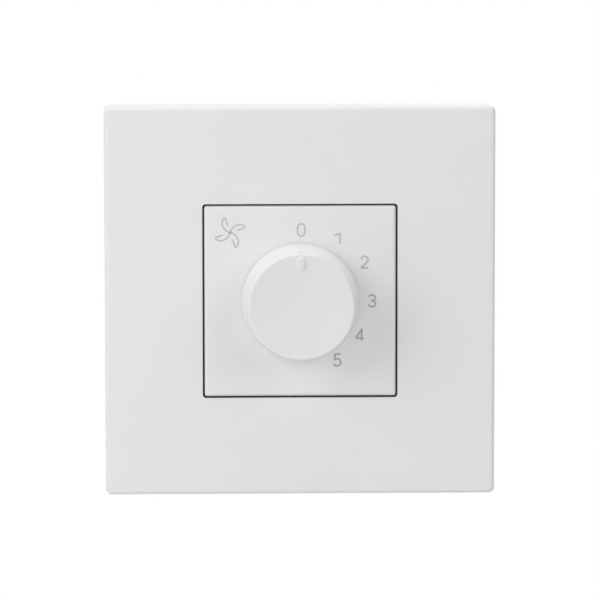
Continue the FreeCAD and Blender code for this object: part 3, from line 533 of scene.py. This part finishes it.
def metal_group():
    """Worked metal: streaks along one direction in gloss and height, and slow patches of tarnish."""
    group, enter, leave, place = surface_group("worked_metal", {
        "Colour": (0.6, 0.6, 0.6, 1.0), "Tarnish": (0.3, 0.3, 0.3, 1.0), "Roughness": 0.3,
        "Gloss Change": 0.25, "Tarnish Amount": 0.3})
    stretch = group.nodes.new("ShaderNodeMapping")
    stretch.inputs["Scale"].default_value = STREAK_STRETCH
    group.links.new(place, stretch.inputs["Vector"])
    streak = noise(group, stretch.outputs["Vector"], STREAK_SCALE, 3.0, 0.6)
    patch = noise(group, place, TARNISH_SCALE, 4.0, 0.6)
    mix = group.nodes.new("ShaderNodeMix")
    mix.data_type = "RGBA"
    group.links.new(math_node(group, "MULTIPLY", patch, enter["Tarnish Amount"]), mix.inputs["Factor"])
    group.links.new(enter["Colour"], mix.inputs["A"])
    group.links.new(enter["Tarnish"], mix.inputs["B"])
    gloss = swing(group, streak, enter["Gloss Change"])
    group.links.new(mix.outputs["Result"], leave["Colour"])
    group.links.new(math_node(group, "ADD", gloss, enter["Roughness"]), leave["Roughness"])
    group.links.new(streak, leave["Height"])
    return group


def surface_material(name, group, values, bump, metallic=0.0):
    """Material whose colour, gloss and bump come from a shared surface group with its own values."""
    material = bpy.data.materials.new(name)
    material.use_nodes = True
    tree = material.node_tree
    shader = tree.nodes["Principled BSDF"]
    surface = tree.nodes.new("ShaderNodeGroup")
    surface.node_tree = group
    for label, value in values.items():
        surface.inputs[label].default_value = (*value, 1.0) if isinstance(value, tuple) else value
    relief = tree.nodes.new("ShaderNodeBump")
    relief.inputs["Strength"].default_value = bump[0]
    relief.inputs["Distance"].default_value = bump[1]
    tree.links.new(surface.outputs["Colour"], shader.inputs["Base Color"])
    tree.links.new(surface.outputs["Roughness"], shader.inputs["Roughness"])
    tree.links.new(surface.outputs["Height"], relief.inputs["Height"])
    tree.links.new(relief.outputs["Normal"], shader.inputs["Normal"])
    shader.inputs["Metallic"].default_value = metallic
    return material


# Height over the dial's middle from which the print is at its palest: painted light on the ink
PAINTED_LIGHT_HEIGHT = 14 * MM


def paint_light_on_print(material, colours):
    """Paints light and shade on the ink: it grows paler from the middle of the dial towards its top, where
    light falls, and stays darker below, in the knob's shadow.
    """
    tree = material.node_tree
    surface = next(node for node in tree.nodes if node.type == "GROUP")
    place = tree.nodes.new("ShaderNodeSeparateXYZ")
    tree.links.new(tree.nodes.new("ShaderNodeTexCoord").outputs["Object"], place.inputs["Vector"])
    rise = tree.nodes.new("ShaderNodeMapRange")
    rise.interpolation_type = "SMOOTHSTEP"
    rise.inputs["From Min"].default_value = 0.0
    rise.inputs["From Max"].default_value = PAINTED_LIGHT_HEIGHT
    tree.links.new(place.outputs["Z"], rise.inputs["Value"])
    mix = tree.nodes.new("ShaderNodeMix")
    mix.data_type = "RGBA"
    mix.inputs["A"].default_value = (*colours.ink, 1.0)
    mix.inputs["B"].default_value = (*colours.painted_lit_ink, 1.0)
    tree.links.new(rise.outputs["Result"], mix.inputs["Factor"])
    tree.links.new(mix.outputs["Result"], surface.inputs["Colour"])


def make_finishes(colours):
    """All finishes of the switch by name."""
    moulded = moulded_group()
    metal = metal_group()
    white = tuple(colours.white)
    finishes = {}

    def plain(name, shade, roughness, grain=MOULD_GRAIN, gloss=0.08, tone=0.02, bump=(0.05, 0.02 * MM)):
        values = {"Colour": shade, "Roughness": roughness, "Grain": grain,
                  "Gloss Change": gloss, "Tone Change": tone}
        finishes[name] = surface_material(name + "_finish", moulded, values, bump)

    def worked(name, shade, dark, roughness):
        values = {"Colour": shade, "Tarnish": dark, "Roughness": roughness}
        finishes[name] = surface_material(name + "_finish", metal, values, (0.12, 0.01 * MM), metallic=1.0)

    plain("plate_white", white, 0.55)
    plain("dial_white", white, 0.55)
    plain("knob_white", tuple(colours.knob_white), 0.55)
    plain("full_ink", tuple(colours.ink), 0.6, tone=0.1)
    plain("dial_ink", tuple(colours.ink), 0.6, tone=0.1)
    # Painted light and shade on the dial's print.
    paint_light_on_print(finishes["dial_ink"], colours)
    plain("frame_black", tuple(colours.black), 0.55, grain=1600.0, bump=(0.2, 0.03 * MM))
    plain(
        "housing_grey", tuple(colours.grey), 0.5, grain=1500.0, gloss=0.12, tone=0.05, bump=(0.25, 0.03 * MM))
    plain("rotor_acetal", (0.72, 0.70, 0.64), 0.35)
    plain("wafer_brown", (0.075, 0.03, 0.012), 0.5, tone=0.3, bump=(0.2, 0.03 * MM))
    plain("board_green", (0.012, 0.085, 0.035), 0.3, tone=0.2)
    plain("capacitor_blue", (0.02, 0.07, 0.26), 0.35, tone=0.1)
    plain("resistor_ceramic", (0.70, 0.68, 0.60), 0.8, tone=0.15, bump=(0.4, 0.04 * MM))
    plain("resistor_film", (0.16, 0.36, 0.44), 0.3, tone=0.1)
    worked("spring_steel", (0.45, 0.46, 0.48), (0.20, 0.20, 0.21), 0.28)
    worked("shaft_steel", (0.55, 0.55, 0.56), (0.25, 0.25, 0.25), 0.3)
    worked("screw_steel", (0.62, 0.63, 0.64), (0.35, 0.34, 0.30), 0.32)
    worked("contact_bronze", (0.62, 0.36, 0.15), (0.25, 0.12, 0.06), 0.3)
    worked("terminal_brass", (0.66, 0.46, 0.17), (0.30, 0.18, 0.06), 0.32)
    return finishes


# Widths of the eased edges in millimetres, by construction piece
EDGES = {
    "cover_plate": 0.08, "dial_cover": 0.30, "support_frame": 0.15, "rear_housing": 0.18,
    "line_terminal": 0.15, "fan_terminal": 0.15, "housing_screws": 0.12, "terminal_screws": 0.10,
}


# How near loose corners are joined, and the least angles in degrees of an eased edge and of a parted one
JOIN_REACH = 0.0005 * MM
EASED_ANGLE = 40
PARTED_ANGLE = 15


def ease_edges(node, width):
    """Joins the loose triangles of a construction piece for display and takes the keenness off its edges."""
    weld = node.modifiers.new("joined", "WELD")
    weld.merge_threshold = JOIN_REACH
    bevel = node.modifiers.new("eased", "BEVEL")
    bevel.width = width * MM
    bevel.segments = 2
    bevel.limit_method = "ANGLE"
    bevel.angle_limit = math.radians(EASED_ANGLE)
    bevel.use_clamp_overlap = True
    bevel.harden_normals = True


def part_mitres(node):
    """Keeps the shading of round edges from running into each other where they meet at a corner."""
    split = node.modifiers.new("parted", "EDGE_SPLIT")
    split.split_angle = math.radians(PARTED_ANGLE)
    split.use_edge_sharp = False
    node.modifiers.new("weighed", "WEIGHTED_NORMAL")


class FANSWITCH_OT_finishes(bpy.types.Operator):
    """Give every construction piece its finish and ease its edges"""

    bl_idname = "fanswitch.finishes"
    bl_label = "Finish the construction pieces"

    def execute(self, context):
        finishes = make_finishes(context.scene.fanswitch_colours)
        for part in frame["record"]["subparts"]:
            node = frame["nodes"][part["node"]]
            node.data.materials.clear()
            node.data.materials.append(finishes[part["material_slot"]])
            if part["node"] in EDGES:
                ease_edges(node, EDGES[part["node"]])
        part_mitres(frame["nodes"]["dial_cover"])
        return {"FINISHED"}


class FANSWITCH_OT_knob(bpy.types.Operator):
    """Build the turned knob with its raised pointer"""

    bl_idname = "fanswitch.knob"
    bl_label = "Build the knob"

    def execute(self, context):
        knob = context.scene.fanswitch_knob
        shells = [knob_shell(knob), pointer_shell(knob), *rib_shells(knob)]
        white = bpy.data.materials["knob_white_finish"]
        piece = finished_piece("knob_moulding", shells, KNOB_BODY, white, sharp=40.0)
        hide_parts("knob")
        return {"FINISHED"}


# Middles of the numbers and of the fan symbol on the dial, in millimetres
NUMBER_PLACES = (
    (0.28, 16.80), (8.82, 14.70), (15.14, 9.15), (16.85, 0.02), (13.97, -8.11), (8.74, -13.93))
SYMBOL_PLACE = (-16.36, 16.22)
# Widths of the symbol's lines and of its middle, as shares of the numbers' lines
SYMBOL_STROKE = 0.9
HUB_STROKE = 1.3
# Films of ink in the symbol's middle
HUB_FILMS = 5


class FANSWITCH_OT_print(bpy.types.Operator):
    """Print the numbers of the scale and the fan symbol on the dial"""

    bl_idname = "fanswitch.print"
    bl_label = "Print the dial"

    def execute(self, context):
        dial = context.scene.fanswitch_print
        ink = bpy.data.materials["dial_ink_finish"]
        size = np.array((dial.width, dial.height)) / 2
        strokes = []
        for paths, place in zip(number_paths(), NUMBER_PLACES):
            strokes += [(path * size + np.array(place) * MM, dial.stroke) for path in paths]
        numbers = finished_piece("dial_numbers", ink_shells(strokes, dial), WALL_BODY, ink)
        middle = np.array(SYMBOL_PLACE) * MM
        strokes = [(path + middle, dial.stroke * SYMBOL_STROKE) for path in fan_paths(dial.symbol_reach)]
        symbol = finished_piece("dial_fan_symbol", ink_shells(strokes, dial), WALL_BODY, ink)
        path = line((-0.5, -0.1), (0.5, 0.1)) * dial.stroke + middle
        front = dial.face - HUB_FILMS * dial.film
        shell = stroke_shell(path, dial.stroke * HUB_STROKE, front, dial.face + dial.film)
        hub = finished_piece("dial_fan_hub", [shell], WALL_BODY, bpy.data.materials["full_ink_finish"])
        return {"FINISHED"}


# How far the marks on the back reach into the housing, and the height of each line over the one before
MARK_ROOT = 0.1 * MM
MARK_STEP = 0.01 * MM


class FANSWITCH_OT_marks(bpy.types.Operator):
    """Raise the marks of the two wire entries on the rear housing"""

    bl_idname = "fanswitch.marks"
    bl_label = "Mark the wire entries"

    def execute(self, context):
        marks = context.scene.fanswitch_marks
        half = marks.height / 2
        letter = line((0.30 * half, half), (0.30 * half, -half), (-0.75 * half, -half))
        paths = [letter + np.array((-marks.apart, marks.level))]
        for blade in fan_paths(marks.symbol_reach):
            paths.append(blade * np.array((-1, 1)) + np.array((marks.apart, marks.level)))
        strokes = [(path, marks.stroke) for path in paths]
        shells = layered_shells(strokes, marks.face + marks.relief, marks.face - MARK_ROOT, MARK_STEP)
        piece = finished_piece("wire_marks", shells, WALL_BODY, bpy.data.materials["housing_grey_finish"])
        return {"FINISHED"}


def white_for_the_eye(tree, shader, share=None):
    """Shows plain white, or that share of it, to camera, mirror and glass rays."""
    rays = tree.nodes.new("ShaderNodeLightPath").outputs
    seen = math_node(tree, "MAXIMUM", rays["Is Camera Ray"], rays["Is Glossy Ray"])
    seen = math_node(tree, "MAXIMUM", seen, rays["Is Transmission Ray"])
    if share is not None:
        seen = math_node(tree, "MULTIPLY", seen, share)
    tree.links.new(seen, shader.inputs["Fac"])


def make_world(ambient):
    """Even light all round that shows as plain white."""
    world = bpy.data.worlds.new("studio")
    world.use_nodes = True
    tree = world.node_tree
    light = tree.nodes["Background"]
    light.inputs["Color"].default_value = (1.0, 1.0, 1.0, 1.0)
    light.inputs["Strength"].default_value = ambient
    white = tree.nodes.new("ShaderNodeBackground")
    white.inputs["Color"].default_value = (1.0, 1.0, 1.0, 1.0)
    choice = tree.nodes.new("ShaderNodeMixShader")
    white_for_the_eye(tree, choice)
    tree.links.new(light.outputs["Background"], choice.inputs[1])
    tree.links.new(white.outputs["Background"], choice.inputs[2])
    tree.links.new(choice.outputs["Shader"], tree.nodes["World Output"].inputs["Surface"])
    return world


# Half the floor's width, points along its side, and the distances between which it turns to plain white
FLOOR_REACH = 20.0
FLOOR_POINTS = 5
FLOOR_FADE = (0.30, 0.75)


def make_floor(height):
    """Pale floor that keeps the shadow near the object, turns white further away and is clear from below."""
    side = np.linspace(-FLOOR_REACH, FLOOR_REACH, FLOOR_POINTS)
    x, y = np.meshgrid(side, side, indexing="ij")
    points = np.stack([x, y, np.full_like(x, height)], axis=-1).reshape(-1, 3)
    mesh = bpy.data.meshes.new("floor")
    mesh.from_pydata(points.tolist(), [], sheet_faces(FLOOR_POINTS, FLOOR_POINTS)[:, ::-1].tolist())
    floor = bpy.data.objects.new("floor", mesh)
    bpy.context.scene.collection.objects.link(floor)
    material = bpy.data.materials.new("floor_pale")
    material.use_nodes = True
    tree = material.node_tree
    matt = tree.nodes["Principled BSDF"]
    matt.inputs["Base Color"].default_value = (0.82, 0.82, 0.82, 1.0)
    matt.inputs["Roughness"].default_value = 0.9
    white = tree.nodes.new("ShaderNodeEmission")
    choice = tree.nodes.new("ShaderNodeMixShader")
    place = tree.nodes.new("ShaderNodeTexCoord").outputs["Object"]
    away = tree.nodes.new("ShaderNodeVectorMath")
    away.operation = "LENGTH"
    tree.links.new(place, away.inputs[0])
    fade = tree.nodes.new("ShaderNodeMapRange")
    fade.interpolation_type = "SMOOTHSTEP"
    fade.inputs["From Min"].default_value = FLOOR_FADE[0]
    fade.inputs["From Max"].default_value = FLOOR_FADE[1]
    tree.links.new(away.outputs["Value"], fade.inputs["Value"])
    white_for_the_eye(tree, choice, fade.outputs["Result"])
    tree.links.new(matt.outputs["BSDF"], choice.inputs[1])
    tree.links.new(white.outputs["Emission"], choice.inputs[2])
    below = tree.nodes.new("ShaderNodeMixShader")
    tree.links.new(tree.nodes.new("ShaderNodeNewGeometry").outputs["Backfacing"], below.inputs["Fac"])
    tree.links.new(choice.outputs["Shader"], below.inputs[1])
    tree.links.new(tree.nodes.new("ShaderNodeBsdfTransparent").outputs["BSDF"], below.inputs[2])
    tree.links.new(below.outputs["Shader"], tree.nodes["Material Output"].inputs["Surface"])
    mesh.materials.append(material)


def direction(azimuth, elevation):
    """Unit vector from the switch: degrees to the right of straight on and degrees above it."""
    turn = math.radians(azimuth)
    rise = math.radians(elevation)
    return Vector((math.sin(turn) * math.cos(rise), -math.cos(turn) * math.cos(rise), math.sin(rise)))


# Lamps by name: azimuth and elevation in degrees, distance and side in metres
LAMPS = {
    "left": (-50, 25, 0.8, 0.5), "left_near": (-65, 0, 0.45, 0.28), "right": (45, 25, 1.6, 1.0),
    "top": (0, 90, 0.8, 0.3), "front": (-8, 2, 1.4, 0.7), "rear": (150, 30, 0.9, 0.6),
}


def soft_lamp(name, azimuth, elevation, distance, side, watts):
    """Square area lamp that faces the switch."""
    away = direction(azimuth, elevation)
    data = bpy.data.lights.new(name, "AREA")
    data.shape = "SQUARE"
    data.size = side
    data.energy = watts
    lamp = bpy.data.objects.new(name, data)
    lamp.location = away * distance
    lamp.rotation_euler = (-away).to_track_quat("-Z", "Y").to_euler()
    bpy.context.scene.collection.objects.link(lamp)


# Point that the camera looks at, and the width of its sensor in millimetres
AIM_POINT = (0.187 * MM, 0.0, -0.67 * MM)
SENSOR = 36.0


def make_camera(studio):
    """Long lens a little above and to the left of straight on."""
    away = direction(studio.azimuth, studio.elevation)
    data = bpy.data.cameras.new("camera")
    data.sensor_width = SENSOR
    data.lens = studio.lens
    data.clip_end = 100.0
    camera = bpy.data.objects.new("camera", data)
    camera.location = Vector(AIM_POINT) + away * studio.distance
    aim = (-away).to_track_quat("-Z", "Y").to_matrix()
    spin = Vector((0.0, 0.0, 1.0))
    camera.rotation_euler = (aim @ Matrix.Rotation(math.radians(studio.roll), 3, spin)).to_euler()
    bpy.context.scene.collection.objects.link(camera)
    bpy.context.scene.camera = camera


class FANSWITCH_OT_stage(bpy.types.Operator):
    """Set up the floor, the light and the camera"""

    bl_idname = "fanswitch.stage"
    bl_label = "Set up the studio"

    def execute(self, context):
        studio = context.scene.fanswitch_studio
        context.scene.view_settings.view_transform = "Standard"
        context.scene.world = make_world(studio.ambient)
        make_floor(studio.floor)
        for name, place in LAMPS.items():
            soft_lamp(name + "_lamp", *place, getattr(studio, name))
        make_camera(studio)
        return {"FINISHED"}


class FANSWITCH_PT_panel(bpy.types.Panel):
    """Sizes, colours and steps of the switch"""

    bl_idname = "FANSWITCH_PT_panel"
    bl_label = "Fan Speed Switch"
    bl_space_type = "VIEW_3D"
    bl_region_type = "UI"
    bl_category = "Fan Switch"

    def draw(self, context):
        for name in GROUPS:
            box = self.layout.box()
            settings = getattr(context.scene, name)
            for key in settings.bl_rna.properties.keys():
                if key not in ("rna_type", "name"):
                    box.prop(settings, key)
        for step in STEPS:
            self.layout.operator(step.bl_idname)


GROUPS = {
    "fanswitch_knob": KnobSizes, "fanswitch_print": DialPrint, "fanswitch_marks": WireMarks,
    "fanswitch_colours": Colours, "fanswitch_studio": StudioLevels,
}
STEPS = (FANSWITCH_OT_finishes, FANSWITCH_OT_knob, FANSWITCH_OT_print, FANSWITCH_OT_marks, FANSWITCH_OT_stage)


def register():
    """Add the classes and hang the settings on the scene."""
    for kind in (*GROUPS.values(), *STEPS, FANSWITCH_PT_panel):
        bpy.utils.register_class(kind)
    for name, kind in GROUPS.items():
        setattr(bpy.types.Scene, name, PointerProperty(type=kind))


def unregister():
    """Take everything off again, in the opposite order."""
    for name in GROUPS:
        delattr(bpy.types.Scene, name)
    for kind in reversed((*GROUPS.values(), *STEPS, FANSWITCH_PT_panel)):
        bpy.utils.unregister_class(kind)


def main():
    register()
    bpy.ops.fanswitch.finishes()
    bpy.ops.fanswitch.knob()
    bpy.ops.fanswitch.print()
    bpy.ops.fanswitch.marks()
    bpy.ops.fanswitch.stage()


if __name__ == "__main__":
    main()
